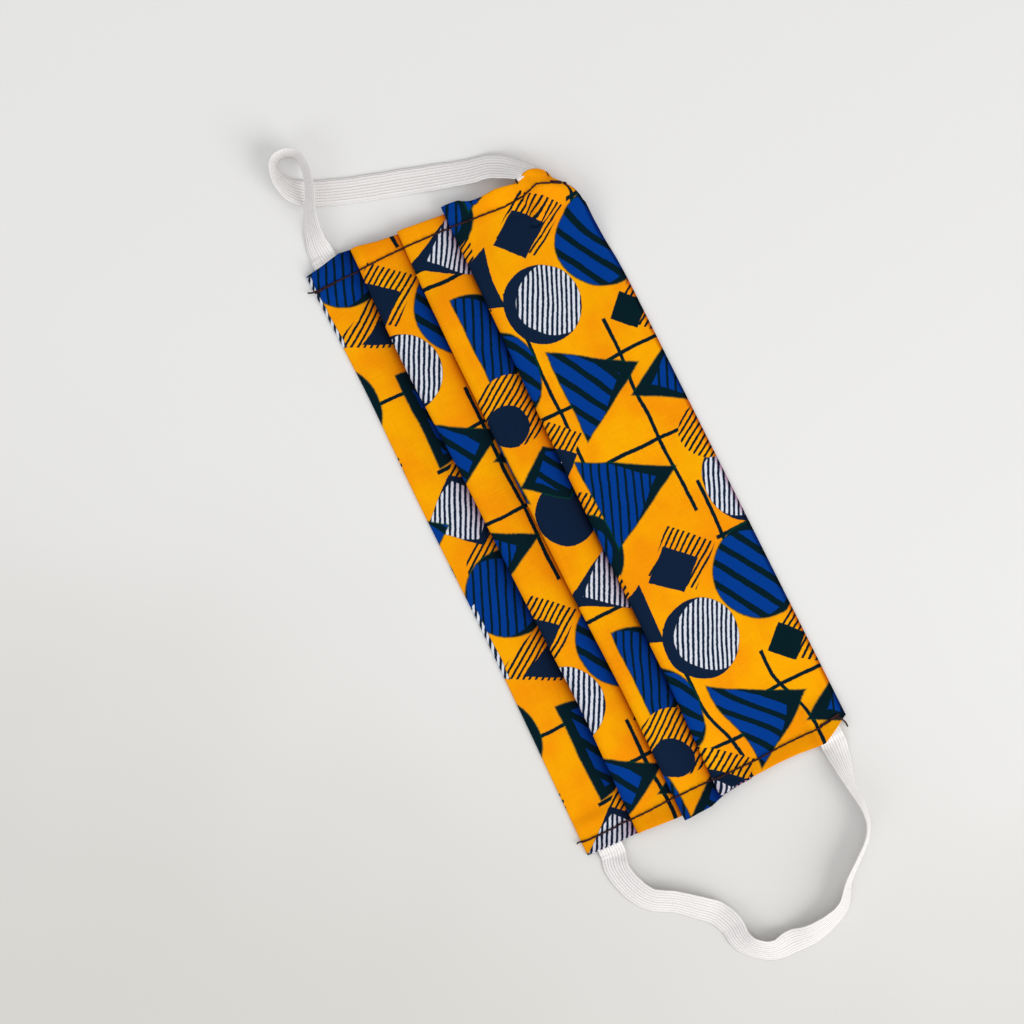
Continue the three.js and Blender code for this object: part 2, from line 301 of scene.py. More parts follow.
SEAMS = [Seam(LEFT_SEAM, 0.4, 3.2), Seam(RIGHT_SEAM, 2.1, 7.0)]
SEAM_START = 0.9
SEAM_END = 0.5
CHIN_BACK = 7.0
BACK_OFFSETS = (0.38, -0.4)
UNDER_START = 6.0
UNDER_END = 12.0

# Loose thread ends: where they leave the cloth and the moves they make
THREAD_ENDS = [
    ((95.4, 86.2), [(1.0, 1.0, 0.1), (1.8, 0.9, -0.9), (1.6, 0.1, -0.4)]),
    ((95.0, -0.6), [(-0.2, -0.9, -0.2), (-0.1, -1.0, -0.5), (0.2, -0.6, 0)]),
    ((-94.2, 0.7), [(-0.1, -0.8, 0.1), (-0.3, -0.7, -0.3), (-0.3, -0.5, -0.3)]),
    ((-95.4, 71.6), [(-0.5, -0.2, 0.2), (-0.6, 0.1, 0.1), (-0.4, 0.3, 0)]),
]


def ease(share):
    """Smooth step from 0 to 1."""
    share = min(1.0, max(0.0, share))
    return share * share * (3 - 2 * share)


def lerp(low, high, share):
    return low + (high - low) * share


def read(table, key, at, column):
    """Linear value of a table's column."""
    return float(np.interp(at, [getattr(r, key) for r in table], [getattr(r, column) for r in table]))


SMOOTHING = np.linspace(-0.07, 0.07, 7)


def wander(x, column):
    """A long line's distance from its even place, rounded at the table's rows."""
    along = x / (LENGTH / 2)
    values = [read(LINES, "along", along + step, column) for step in SMOOTHING]
    return PLEAT_PITCH * sum(values) / len(values)


def chin_edge(x):
    return wander(x, "chin")


def nose_edge(x):
    return WIDTH + wander(x, "nose")


def fold_edge(x, pleat):
    return pleat * PLEAT_PITCH + wander(x, f"fold{pleat}")


def end_line(side, place):
    column = "left" if side < 0 else "right"
    return side * (LENGTH / 2 + END_STEP * read(ENDS, "place", place, column))


def bent_ground(x, y):
    """The table's surface as the bent corner lifts it."""
    dx, dy = BEND_CENTRE[0] - x, y - BEND_CENTRE[1]
    away = max(0.0, -dx) + max(0.0, -dy)
    dx, dy = max(0.0, dx), max(0.0, dy)
    radius = math.hypot(dx, dy)
    outward = Vector((-dx, dy)) / max(radius, 1e-6)
    start = BEND_RADIUS + BEND_WIDEN * math.cos(2 * math.atan2(dy, dx)) ** 2
    past = radius - start - BEND_FADE * away
    if past <= 0:
        return Vector((x, y, BEND_RISE * ease(1 + past / BEND_RUN)))
    turn = (math.pi / 2) * min(1, past / BEND_SPAN)
    pulled = BEND_REACH * math.sin(turn) - past
    tip = BEND_TIP * max(0.0, past - BEND_SPAN)
    height = BEND_RISE - BEND_DROP * (1 - math.cos(turn)) - tip
    return Vector((x + pulled * outward.x, y + pulled * outward.y, height))


def bend(x, y, z):
    """A point over a flat table, carried over to the bent ground."""
    probe = 0.5
    across = bent_ground(x + probe, y) - bent_ground(x - probe, y)
    up = bent_ground(x, y + probe) - bent_ground(x, y - probe)
    return bent_ground(x, y) + across.cross(up).normalized() * z


class Bump(NamedTuple):
    """A soft round rise of the cloth, or a dent where it is below 0: its place, spread and height."""

    x: float
    y: float
    spread_x: float
    spread_y: float
    height: float


# The puffed hem, the hump beside it and the dent behind them
CORNER_BUMPS = table_of(Bump, [
    (-96.5, 78.5, 3.0, 4.5, 0.4),
    (-90.2, 79.0, 2.6, 4.2, 0.6),
    (-88.6, 72.0, 2.0, 6.5, -0.75),
])


def bump_rise(x, y, bump):
    dx, dy = (x - bump.x) / bump.spread_x, (y - bump.y) / bump.spread_y
    return bump.height * math.exp(-dx * dx - dy * dy)


def crease_depth(x, y):
    """The sharp crease that runs from the end into the bent corner."""
    dx, dy = x - CREASE_START[0], y - CREASE_START[1]
    along = dx * CREASE_WAY[0] + dy * CREASE_WAY[1]
    across = dx * CREASE_WAY[1] - dy * CREASE_WAY[0]
    reach = ease(along / 1.5) * ease((CREASE_LENGTH - along) / 4)
    return CREASE_DEPTH * math.exp(-((across / CREASE_WIDTH) ** 2)) * reach


def corner_relief(x, y):
    """The bent corner's crease, dent, hump and puffed hem."""
    if x > CORNER_START[0] or y < CORNER_START[1]:
        return 0.0
    return sum(bump_rise(x, y, bump) for bump in CORNER_BUMPS) - crease_depth(x, y)


def wave(x, y, size, seed):
    """Soft uneven waves between 0 and 1."""
    return 0.5 + 0.5 * noise.noise(Vector((x / size[0], y / size[1], seed)))


def lift_at(x, y):
    """Slight rise of the cloth off the table: long soft waves, gathers at the sewn ends, curled hems."""
    waves = WAVE_RISE * wave(x, y, WAVE_SIZE, 3.7) + FINE_RISE * wave(x, y, FINE_SIZE, 8.1)
    from_end = LENGTH / 2 - abs(x)
    gather = 0.5 + 0.5 * math.sin(y / 1.9 + 2.2 * math.sin(y / 7.0) + (1.3 if x > 0 else 0.2))
    near_end = math.exp(-max(0.0, from_end - SEAM_INSET) / GATHER_RUN)
    edge = ease(min(y, WIDTH - y) / 8.0)
    hem = HEM_CURL * ease(1 - from_end / SEAM_INSET) * ease(min(y, WIDTH - y) / 3.0)
    rise = waves * (0.35 + 0.65 * edge) + GATHER_RISE * gather * near_end * edge + hem
    return max(0.0, rise + corner_relief(x, y))


class Spot(NamedTuple):
    """A point of a section: its place and the direction through the cloth.

    Place counts the folds from the chin edge on, and shade is the painted shade of a fold there: how deep
    the point lies in it.
    """

    y: float
    z: float
    ny: float
    nz: float
    place: float
    shade: float = 0.0


# Points of a section in a turn, and along the chin panel, a panel between pleats, a tuck, the top of a
# pleat and the nose panel
TURN_STEPS = 9
CHIN_STEPS = 24
PANEL_STEPS = 14
TUCK_STEPS = 8
TOP_STEPS = 10
NOSE_STEPS = 30


def add_run(spots, heights, places, steps):
    """Cloth that follows a height function between two y values; its face is on the left of its way."""
    first = 1 if spots else 0
    (y_from, y_to), height_at = heights
    for i in range(first, steps + 1):
        share = i / steps
        y = lerp(y_from, y_to, share)
        probe = 0.05 if y_to > y_from else -0.05
        dz = height_at(y + probe) - height_at(y - probe)
        size = math.hypot(2 * probe, dz)
        spots.append(Spot(y, height_at(y), -dz / size, 2 * probe / size, lerp(*places, share)))


def add_turn(spots, side, level, place, reach):
    """Half a turn upwards from where the last run ended, bulging by reach towards side."""
    y, z = spots[-1].y, spots[-1].z
    for i in range(1, TURN_STEPS + 1):
        angle = math.pi * i / TURN_STEPS
        sine, cosine = math.sin(angle), math.cos(angle)
        at = (y + side * reach * sine, z + level / 2 * (1 - cosine))
        spots.append(Spot(*at, -sine, side * cosine, place))


def level_at(x):
    """Height of one layer on the next: pressed by the stitching, springing up between."""
    from_seam = max(0.0, LENGTH / 2 - SEAM_INSET - abs(x))
    return lerp(LEVEL_SEWN, LEVEL_MIDDLE, ease(from_seam / LEVEL_RUN))


def fold_shade(x, spot):
    """Painted shade of how deep a point lies in a fold: 1 under a pleat, fading towards the open cloth
    beside it.
    """
    layer = math.floor(spot.place + 1e-6)
    if layer % 2 or layer >= 2 * PLEATS:
        below = 1.0 if layer % 2 else 0.0
    else:
        below = math.exp((spot.y - fold_edge(x, layer // 2 + 1)) / FOLD_SHADE)
    above = math.exp((fold_edge(x, layer // 2) - spot.y) / ROLL_SHADE) if layer >= 2 else 0.0
    return min(1.0, below + 0.3 * above)


def section_at(x):
    """One section of the pleated cloth from its chin edge to its nose edge."""
    chin, nose = chin_edge(x), nose_edge(x)
    level = level_at(x)
    last_fold = fold_edge(x, PLEATS)
    spots = []

    def place_at(y):
        return 2 * PLEATS + (y - last_fold) / (nose - last_fold)

    def base(y, start, run):
        return GROUND + 2 * level * (1 - ease((y - start) / run)) if start is not None else GROUND

    start = None
    here, place = chin, 0.0
    for pleat in range(1, PLEATS + 1):
        outer = fold_edge(x, pleat) + CLOTH / 2 + FOLD_ROLL
        inner = outer + PLEAT_DEPTH - FOLD_ROLL
        tucked = 2 * pleat - 1
        steps = CHIN_STEPS if pleat == 1 else PANEL_STEPS

        def low(y, before=start):
            return base(y, before, PLEAT_RUN)

        add_run(spots, ((here, inner), low), (place, tucked), steps)
        add_turn(spots, 1, level, tucked, TUCK_ROLL)
        add_run(spots, ((inner, outer), lambda y: low(y) + level), (tucked, tucked + 1), TUCK_STEPS)
        add_turn(spots, -1, level, tucked + 1, FOLD_ROLL)
        covered = PLEAT_DEPTH / (PLEAT_DEPTH + PLEAT_PITCH)
        place = tucked + 1 + covered if pleat < PLEATS else place_at(inner)
        add_run(spots, ((outer, inner), lambda y: low(y) + 2 * level), (tucked + 1, place), TOP_STEPS)
        here, start = inner, inner
    add_run(spots, ((here, nose), lambda y: base(y, start, DRAPE_RUN)), (place, 2 * PLEATS + 1), NOSE_STEPS)
    return [spot._replace(shade=fold_shade(x, spot)) for spot in spots]


def pad_at(x, y, place):
    """Extra thickness where the elastic lies between the plies."""
    if 0.6 < place < 2 * PLEATS + 0.5:
        return 0.0
    from_end = LENGTH / 2 - abs(x)
    from_edge = min(y - chin_edge(x), nose_edge(x) - y)
    along = ease(1 - (from_end - PAD_LENGTH) / PAD_RUN)
    middle = -BENT_POCKET if x < 0 and y > WIDTH / 2 else 0.0
    inner = ease(1 - (from_edge - middle - ELASTIC_INSET - ELASTIC_WIDTH) / PAD_SLOPE)
    outer = ease(from_edge / ELASTIC_INSET)
    return PAD_EXTRA * along * inner * lerp(PAD_RIM, 1, outer)


def seam_distance(x, y):
    """Distance along x from the nearer stitch row."""
    table = LEFT_SEAM if x < 0 else RIGHT_SEAM
    return abs(x - read(table, "y", y, "x"))


def pinch_at(x, y):
    """How much thinner the cloth is where the thread pulls it in."""
    away = seam_distance(x, y)
    stitches = 0.75 + 0.25 * math.cos(2 * math.pi * y / STITCH)
    return PINCH_DEPTH * math.exp(-((away / PINCH_WIDTH) ** 2)) * stitches


STATIONS = 190
END_CROWDING = 0.42


def stations():
    """Shares of the length, closer together at the ends."""
    even = np.linspace(0, 1, STATIONS + 1)
    return even - END_CROWDING * np.sin(2 * math.pi * even) / (2 * math.pi)


# Rounded rims: at the two ends, share of the thickness and distance inwards, and along the long edges,
# distance outwards and place through the cloth
END_PROFILE = [(1.0, 0.38), (0.93, 0.2), (0.7, 0.05), (0.4, 0.0), (0.15, 0.08), (0.0, 0.3)]
EDGE_PROFILE = [(0.28, 0.75), (0.36, 0.0), (0.28, -0.75)]


def cloth_point(x, spot, skin, inset=0.0):
    """A point of the cloth's surface; skin runs from -1 on the lining to 1 on the face."""
    half = CLOTH / 2 - 0.5 * pinch_at(x, spot.y)
    extra = pad_at(x, spot.y, spot.place) if skin > 0 else 0.0
    offset = skin * half + max(0.0, skin) * extra
    y = spot.y + offset * spot.ny
    z = spot.z + offset * spot.nz
    return bend(x - inset, y, z + lift_at(x, spot.y))


class Builder:
    """Collects a mesh: points, faces, one pair of cloth coordinates for each corner and a painted shade for
    each point.
    """

    def __init__(self):
        self.points = []
        self.coords = []
        self.shades = []
        self.faces = []

    def add(self, point, coord, shade=0.0):
        self.points.append(point)
        self.coords.append(coord)
        self.shades.append(shade)
        return len(self.points) - 1

    def grid(self, rings):
        """Faces between closed rings of point numbers."""
        for near, far in zip(rings, rings[1:]):
            count = len(near)
            for i in range(count):
                j = (i + 1) % count
                self.faces.append((near[i], far[i], far[j], near[j]))


def add_object(name, data):
    made = bpy.data.objects.new(name, data)
    bpy.context.scene.collection.objects.link(made)
    return made


def make_object(name, builder, material, uv_name):
    """A Blender object of a builder's mesh, moved from the mask's frame to the CAD's."""
    mesh = bpy.data.meshes.new(name)
    points = [((p[0] + SHIFT.x) * MM, (p[1] + SHIFT.y) * MM, p[2] * MM) for p in builder.points]
    mesh.from_pydata(points, [], builder.faces)
    layer = mesh.uv_layers.new(name=uv_name)
    corners = np.empty(len(mesh.loops), dtype=np.int32)
    mesh.loops.foreach_get("vertex_index", corners)
    coords = np.array(builder.coords, dtype=np.float32)
    layer.uv.foreach_set("vector", coords[corners].ravel())
    # Painted shade for each point: the folds and hems of the cloth, none on the other parts
    shade = mesh.attributes.new("fold_shade", "FLOAT", "POINT")
    shade.data.foreach_set("value", np.array(builder.shades, dtype=np.float32))
    mesh.materials.append(material)
    mesh.polygons.foreach_set("use_smooth", [True] * len(mesh.polygons))
    mesh.update()
    return add_object(name, mesh)


def panel_column(share):
    """A section's points with their distance along the cloth, at a share of the mask's length."""
    spots = section_at(lerp(-LENGTH / 2, LENGTH / 2, share))
    flat = 0.0
    rows = []
    for i, spot in enumerate(spots):
        if i:
            flat += math.hypot(spot.y - spots[i - 1].y, spot.z - spots[i - 1].z)
        rows.append((lerp(end_line(-1, spot.place), end_line(1, spot.place), share), spot, flat))
    return rows


def panel_ring(builder, rows, shrink=1.0, inset=0.0):
    """Point numbers round a section: face, nose edge, lining, chin edge."""
    ring = []

    def put(row, skin, out=0.0):
        x, spot, flat = row
        moved = spot._replace(y=spot.y + out)
        # Painted shade on the hem beyond the stitching, added to the painted shade of the folds
        hem = HEM_SHADE * ease(1.2 * (1 - (LENGTH / 2 - abs(x)) / SEAM_INSET))
        point = cloth_point(x, moved, skin * shrink, inset)
        ring.append(builder.add(point, (x, flat + out), min(1.0, spot.shade + hem)))

    for row in rows:
        put(row, 1.0)
    for out, skin in EDGE_PROFILE:
        put(rows[-1], skin, out)
    for row in reversed(rows):
        put(row, -1.0)
    for out, skin in reversed(EDGE_PROFILE):
        put(rows[0], skin, -out)
    return ring


def close_end(builder, ring, count, flip):
    """Faces that close an end of the cloth, between the face and the lining."""
    last = 2 * count + 2
    faces = [(ring[i], ring[i + 1], ring[last - 1 - i], ring[last - i]) for i in range(count - 1)]
    faces.append(tuple(ring[count - 1 : count + 4]))
    faces.append((ring[last], ring[last + 1], ring[last + 2], ring[-1], ring[0]))
    builder.faces += [face[::-1] if flip else face for face in faces]


def panel_mesh():
    """The whole cloth as one closed surface: the face, the lining, and rounded edges all round."""
    builder = Builder()
    columns = [panel_column(share) for share in stations()]
    rings = []
    for skin, inset in reversed(END_PROFILE):
        rings.append(panel_ring(builder, columns[0], max(skin, 0.04), -inset))
    for rows in columns[1:-1]:
        rings.append(panel_ring(builder, rows))
    for skin, inset in END_PROFILE:
        rings.append(panel_ring(builder, columns[-1], max(skin, 0.04), inset))
    builder.grid(rings)
    close_end(builder, rings[0], len(columns[0]), False)
    close_end(builder, rings[-1], len(columns[0]), True)
    return builder


def curve_point(points, at):
    """A point of a centripetal Catmull-Rom curve, as three.js works it out, and the tangent there."""
    last = len(points) - 1
    i = min(int(at * last), last - 1)
    weight = at * last - i
    p1, p2 = points[i], points[i + 1]
    p0 = points[i - 1] if i > 0 else p1 * 2 - p2
    p3 = points[i + 2] if i + 2 <= last else p2 * 2 - p1
    steps = [max(1e-4, (b - a).length_squared ** 0.25) for a, b in ((p0, p1), (p1, p2), (p2, p3))]
    d0, d1, d2 = steps
    t1 = ((p1 - p0) / d0 - (p2 - p0) / (d0 + d1) + (p2 - p1) / d1) * d1
    t2 = ((p2 - p1) / d1 - (p3 - p1) / (d1 + d2) + (p3 - p2) / d2) * d1
    c2 = -3 * p1 + 3 * p2 - 2 * t1 - t2
    c3 = 2 * p1 - 2 * p2 + t1 + t2
    point = p1 + t1 * weight + c2 * weight**2 + c3 * weight**3
    tangent = t1 + 2 * c2 * weight + 3 * c3 * weight**2
    return point, tangent.normalized()


def pocket_height(side, out, y):
    """How high the elastic lies in its pocket, sinking towards the table where it leaves."""
    x = side * (LENGTH / 2 + min(0.0, out))
    sink = 1 - 0.4 * ease(out / POCKET_LEAD)
    return (ELASTIC_HEIGHT + lift_at(x, y)) * sink


def is_bent(side, edge):
    return side < 0 and edge == "nose"


def pocket_out(side, edge, share):
    """How far out of the cloth's end the elastic is, from its mouth at share 0 to its sewn end at 1."""
    lead = BENT_LEAD if is_bent(side, edge) else POCKET_LEAD
    return lead - share * (POCKET_DEPTH + lead)


def pocket_place(side, edge, out):
    """The middle of the elastic's way at a distance out from the end, before the corner is bent."""
    middle = ELASTIC_INSET + ELASTIC_WIDTH / 2
    end = side * LENGTH / 2
    y = chin_edge(end) + middle if edge == "chin" else nose_edge(end) - middle
    if is_bent(side, edge):
        y += BENT_POCKET
    return Vector((end + side * out, y, pocket_height(side, out, y)))


def pocket_rows(side, edge):
    """The elastic in its pocket, from outside the mouth inwards."""
    rows = []
    for share in np.linspace(0, 1, POCKET_ROWS):
        at = pocket_place(side, edge, pocket_out(side, edge, share))
        across = bend(at.x, at.y + 0.5, at.z) - bend(at.x, at.y - 0.5, at.z)
        rows.append((bend(*at), across.normalized()))
    return rows


def route_rows(side, reach, route):
    """Centres of the band with the direction across it, from the chin pocket to the nose one."""
    chin = pocket_rows(side, "chin")
    nose = pocket_rows(side, "nose")
    low, high = chin[0][0].y, nose[0][0].y
    flat = [Vector((side * (LENGTH / 2 + r.out * reach), lerp(low, high, r.across), 0)) for r in route]
    rows = []
    for i, row in enumerate(route):
        before = chin[0][0] if i == 0 else flat[i - 1]
        after = nose[0][0] if i == len(flat) - 1 else flat[i + 1]
        heading = after - before
        heading.z = 0
        heading.normalize()
        angle = math.radians(row.roll)
        across = Vector((-heading.y, heading.x, 0)) * side * math.cos(angle)
        across.z = math.sin(angle)
        rest = (ELASTIC_WIDTH * math.sin(angle) + ELASTIC_THICK * math.cos(angle)) / 2
        rows.append((Vector((flat[i].x, flat[i].y, rest + row.hop * ELASTIC_WIDTH)), across))
    turned = [(at, -across) for at, across in nose]
    return chin[::-1] + rows + turned


def band_outline():
    """Half of the band's outline with its ribs: pairs of share across and share of half the thickness."""
    pairs = []
    total = ELASTIC_RIBS * RIB_POINTS
    for i in range(total + 1):
        share = i / total
        rib = abs(math.sin(math.pi * ELASTIC_RIBS * share))
        edge = min(1.0, 6.0 * min(share, 1 - share) + 0.35)
        pairs.append((share - 0.5, edge * (0.66 + 0.34 * rib**0.7)))
    return pairs


def sewn_share(at, rows):
    """How far towards the pocket's sewn end a place on the band is, and how much it is shaped there."""
    from_start = min(at, 1 - at) * (rows - 1)
    return 1 - from_start / (POCKET_ROWS - 1), ease((POCKET_ROWS - 0.1 - from_start) / 1.3)


def sewn_point(side, edge, out, aside, up):
    """A point of the elastic in its pocket, at distances aside of its middle and above it."""
    at = pocket_place(side, edge, out)
    y = at.y + (aside if edge == "chin" else -aside)
    return bend(at.x, y, pocket_height(side, out, y) + up)


def band_frame(centres, sides, share):
    """The band's middle at a share of its way, and the directions across and through it."""
    centre, tangent = curve_point(centres, share)
    across, _ = curve_point(sides, share)
    across = (across - tangent * across.dot(tangent)).normalized()
    through = tangent.cross(across)
    low = (abs(across.z) * ELASTIC_WIDTH + abs(through.z) * ELASTIC_THICK) / 2
    return centre + Vector((0, 0, max(0.0, low - centre.z))), across, through


def close_band(builder, ring, flip):
    """Faces that close an end of the band, between its two sides."""
    last = len(ring) - 1
    for i in range(last // 2):
        face = (ring[i], ring[i + 1], ring[last - 1 - i], ring[last - i])
        builder.faces.append(face[::-1] if flip else face)


def loop_mesh(side, reach, route):
    """An ear loop: a flat ribbed band, with its length and width as its coordinates."""
    rows = route_rows(side, reach, route)
    centres = [row[0] for row in rows]
    sides = [row[1] for row in rows]
    builder = Builder()
    steps = BAND_STEPS * (len(rows) - 1)
    outline = band_outline()
    ring_pairs = outline + [(a, -b) for a, b in reversed(outline)]
    rings = []
    run = 0.0
    before = None
    for i in range(steps + 1):
        centre, across, through = band_frame(centres, sides, i / steps)
        run += (centre - before).length if before is not None else 0.0
        before = centre
        width = ELASTIC_WIDTH * (1 + 0.012 * math.sin(run / 1.7) + 0.01 * math.sin(run / 0.71))
        edge = "chin" if i < steps / 2 else "nose"
        inside, held = sewn_share(i / steps, len(rows))
        out = pocket_out(side, edge, inside)
        face = math.copysign(1.0, through.z)
        ring = []
        for a, b in ring_pairs:
            point = centre + across * (a * width) + through * (b * ELASTIC_THICK / 2)
            if held > 0:
                sewn = sewn_point(side, edge, out, a * width, face * b * ELASTIC_THICK * POCKET_THIN)
                point = point.lerp(sewn, held)
            back = BACK_COORD if b < 0 else 0
            ring.append(builder.add(point, (run, a * ELASTIC_WIDTH + back)))
        rings.append(ring)
    builder.grid(rings)
    close_band(builder, rings[0], True)
    close_band(builder, rings[-1], False)
    return builder


def surface_tree(builder):
    return BVHTree.FromPolygons([tuple(p) for p in builder.points], builder.faces)


def surface_height(tree, x, y, from_above=True):
    """Height of the cloth's outer surface over a place, or None beside it."""
    if from_above:
        hit = tree.ray_cast(Vector((x, y, 40)), Vector((0, 0, -1)))
    else:
        hit = tree.ray_cast(Vector((x, y, -10)), Vector((0, 0, 1)))
    return hit[0].z if hit[0] is not None else None


def tube(builder, points, radius):
    """A round thread through points, closed at both ends."""
    rings = []
    run = 0.0
    for i, point in enumerate(points):
        before = points[max(0, i - 1)]
        after = points[min(len(points) - 1, i + 1)]
        tangent = (after - before).normalized()
        level = tangent.cross(Vector((0, 0, 1)))
        level = level.normalized() if level.length > 0.05 else Vector((1, 0, 0))
        up = level.cross(tangent)
        run += (point - before).length
        ring = []
        for k in range(THREAD_SIDES):
            angle = 2 * math.pi * k / THREAD_SIDES
            offset = level * math.cos(angle) + up * math.sin(angle)
            ring.append(builder.add(point + offset * radius, (run, k / THREAD_SIDES)))
        rings.append(ring)
    builder.grid(rings)
    builder.faces.append(tuple(rings[0]))
    builder.faces.append(tuple(rings[-1][::-1]))


def stitch_row(builder, tree, table, start, end, offset, phase, from_above=True):
    """Single stitches along a row, each from hole to hole over the cloth."""
    count = max(1, round(abs(end - start) / STITCH))
    side = 1 if from_above else -1
    for j in range(count):
        jog = THREAD_JOG * math.sin(12.9 * j + phase)
        jog_next = THREAD_JOG * math.sin(12.9 * (j + 1) + phase)
        y_from = lerp(start, end, j / count)
        y_to = lerp(start, end, (j + 1) / count)
        points = []
        for k in range(STITCH_POINTS):
            share = k / (STITCH_POINTS - 1)
            y = lerp(y_from, y_to, 0.02 + 0.96 * share)
            slant = lerp(jog, jog_next, share) + 0.1 * (share - 0.5)
            x = read(table, "y", y, "x") + offset + slant
            height = surface_height(tree, x, y, from_above)
            if height is None:
                continue
            rise = THREAD_RADIUS * (0.9 - 1.9 * abs(2 * share - 1) ** 8)
            points.append(Vector((x, y, max(height + side * rise, THREAD_RADIUS))))
        if len(points) > 2:
            tube(builder, points, THREAD_RADIUS)


def thread_tail(builder, tree, start, moves):
    """A loose end of thread that leaves the cloth and lies on the table."""
    height = surface_height(tree, start.x, start.y)
    point = Vector((start.x, start.y, (height or 0.5) + THREAD_RADIUS))
    points = [point.copy()]
    for move in moves:
        point = point + Vector(move)
        point.z = max(point.z, THREAD_RADIUS)
        points.append(point.copy())
    smooth = [curve_point(points, i / 24)[0] for i in range(25)]
    tube(builder, smooth, THREAD_RADIUS * 0.9)


def knot(builder, tree, x, y, radius):
    """A small ball of thread."""
    height = surface_height(tree, x, y)
    centre = Vector((x, y, (height or 0.5) + radius * 0.4))
    rings = []
    for i in range(1, KNOT_RINGS):
        angle = math.pi * i / KNOT_RINGS
        ring = []
        for k in range(KNOT_SIDES):
            turn = 2 * math.pi * k / KNOT_SIDES
            size = radius * math.sin(angle) * (1 + 0.12 * math.sin(3 * turn + i))
            offset = Vector((size * math.cos(turn), size * math.sin(turn), radius * math.cos(angle)))
            ring.append(builder.add(centre + offset, (i * 0.2, k / KNOT_SIDES)))
        rings.append(ring)
    builder.grid(rings)
    builder.faces.append(tuple(rings[0][::-1]))
    builder.faces.append(tuple(rings[-1]))


def thread_mesh(panel):
    """Both stitch rows on both sides of the mask, their backstitches and loose ends."""
    tree = surface_tree(panel)
    builder = Builder()
    for table, phase, back in SEAMS:
        start, end = table[0].y + SEAM_START, table[-1].y - SEAM_END
        stitch_row(builder, tree, table, start, end, 0.0, phase)
        under = (start + UNDER_START, end - UNDER_END)
        stitch_row(builder, tree, table, *under, 0.0, phase + 1, from_above=False)
        stitch_row(builder, tree, table, start, start + CHIN_BACK, BACK_OFFSETS[0], phase + 2)
        stitch_row(builder, tree, table, end - back, end, BACK_OFFSETS[1], phase + 3)
    for start, moves in THREAD_ENDS:
        thread_tail(builder, tree, Vector((start[0], start[1], 0)), moves)
    knot(builder, tree, *KNOT_PLACE, KNOT_RADIUS)
    return builder


class Nodes:
    """Short ways to make shader nodes in one tree."""

    def __init__(self, tree):
        self.tree = tree

    def node(self, kind, values=(), **settings):
        made = self.tree.nodes.new(kind)
        for key, value in settings.items():
            setattr(made, key, value)
        for socket, value in values:
            self.put(made.inputs[socket], value)
        return made

    def put(self, socket, value):
        if isinstance(value, bpy.types.NodeSocket):
            self.tree.links.new(value, socket)
        else:
            socket.default_value = value

    def math(self, operation, *values, clamp=False):
        made = self.node("ShaderNodeMath", enumerate(values), operation=operation, use_clamp=clamp)
        return made.outputs[0]

    def vector_math(self, operation, *values):
        made = self.node("ShaderNodeVectorMath", enumerate(values), operation=operation)
        return made.outputs["Value" if operation == "DOT_PRODUCT" else "Vector"]

    def mix(self, share, low, high, blend="MIX"):
        values = [("Factor", share), (6, low), (7, high)]
        return self.node("ShaderNodeMix", values, data_type="RGBA", blend_type=blend).outputs[2]

    def soft_step(self, value, edge, width):
        """1 below the edge and 0 over it, soft over a width."""
        values = [("Value", value), ("From Min", edge - width / 2), ("From Max", edge + width / 2)]
        values += [("To Min", 1.0), ("To Max", 0.0)]
        return self.node("ShaderNodeMapRange", values, interpolation_type="SMOOTHSTEP").outputs[0]

    def noise(self, vector, scale, detail=2.0, output="Fac"):
        values = [("Vector", vector), ("Scale", scale), ("Detail", detail)]
        return self.node("ShaderNodeTexNoise", values).outputs[output]

    def split(self, vector):
        """A vector's first two numbers."""
        made = self.node("ShaderNodeSeparateXYZ", [("Vector", vector)])
        return made.outputs["X"], made.outputs["Y"]


def new_material(name):
    material = bpy.data.materials.new(name)
    material.use_nodes = True
    material.node_tree.nodes.clear()
    return material, Nodes(material.node_tree)


def add_shader(n, colour, height, bump, values):
    """A material's shader with a bump of a strength and a distance, and its plain values."""
    strength, distance = bump
    uneven = n.node("ShaderNodeBump", [("Height", height), ("Strength", strength), ("Distance", distance)])
    inputs = [("Base Color", colour), ("Normal", uneven.outputs[0]), *values]
    shader = n.node("ShaderNodeBsdfPrincipled", inputs)
    n.node("ShaderNodeOutputMaterial", [("Surface", shader.outputs[0])])


# Colours, linear
YELLOW = (0.94, 0.40, 0.0, 1)
ORANGE = (0.90, 0.29, 0.001, 1)
BLUE = (0.0, 0.040, 0.265, 1)
NAVY = (0.004, 0.014, 0.040, 1)
INK = (0.001, 0.012, 0.018, 1)
GREEN = (0.0, 0.055, 0.02, 1)
WHITE = (0.70, 0.74, 0.82, 1)
# Painted shade: the colour the cloth is darkened towards in its folds and on its hems
PAINTED_FOLD_SHADE = (0.5, 0.25, 0.35, 1)  # what the cloth's colour is multiplied by in a fold
ELASTIC_DULL = (0.80, 0.785, 0.78, 1)
ELASTIC_BRIGHT = (0.89, 0.88, 0.875, 1)
# Painted shade in the grooves between the elastic's ribs
ELASTIC_GROOVE_SHADE = (0.40, 0.29, 0.27, 1)
THREAD_DARK = (0.012, 0.003, 0.005, 1)
THREAD_LIGHT = (0.04, 0.008, 0.009, 1)
FLOOR_BRIGHT = (0.81, 0.81, 0.805, 1)
# Painted shade: the floor's colour in its greyer corner
FLOOR_PAINTED_SHADE = (0.655, 0.645, 0.615, 1)


class Motif(NamedTuple):
    """One figure of the print: its shape, fill, centre in the repeat and half sizes.

    The frame is the width of its dark edge, and lean says towards which side of v the frame is wide.
    """

    shape: str
    fill: str
    u: float
    v: float
    half_u: float
    half_v: float
    frame: float = 0.0
    lean: float = 1.0


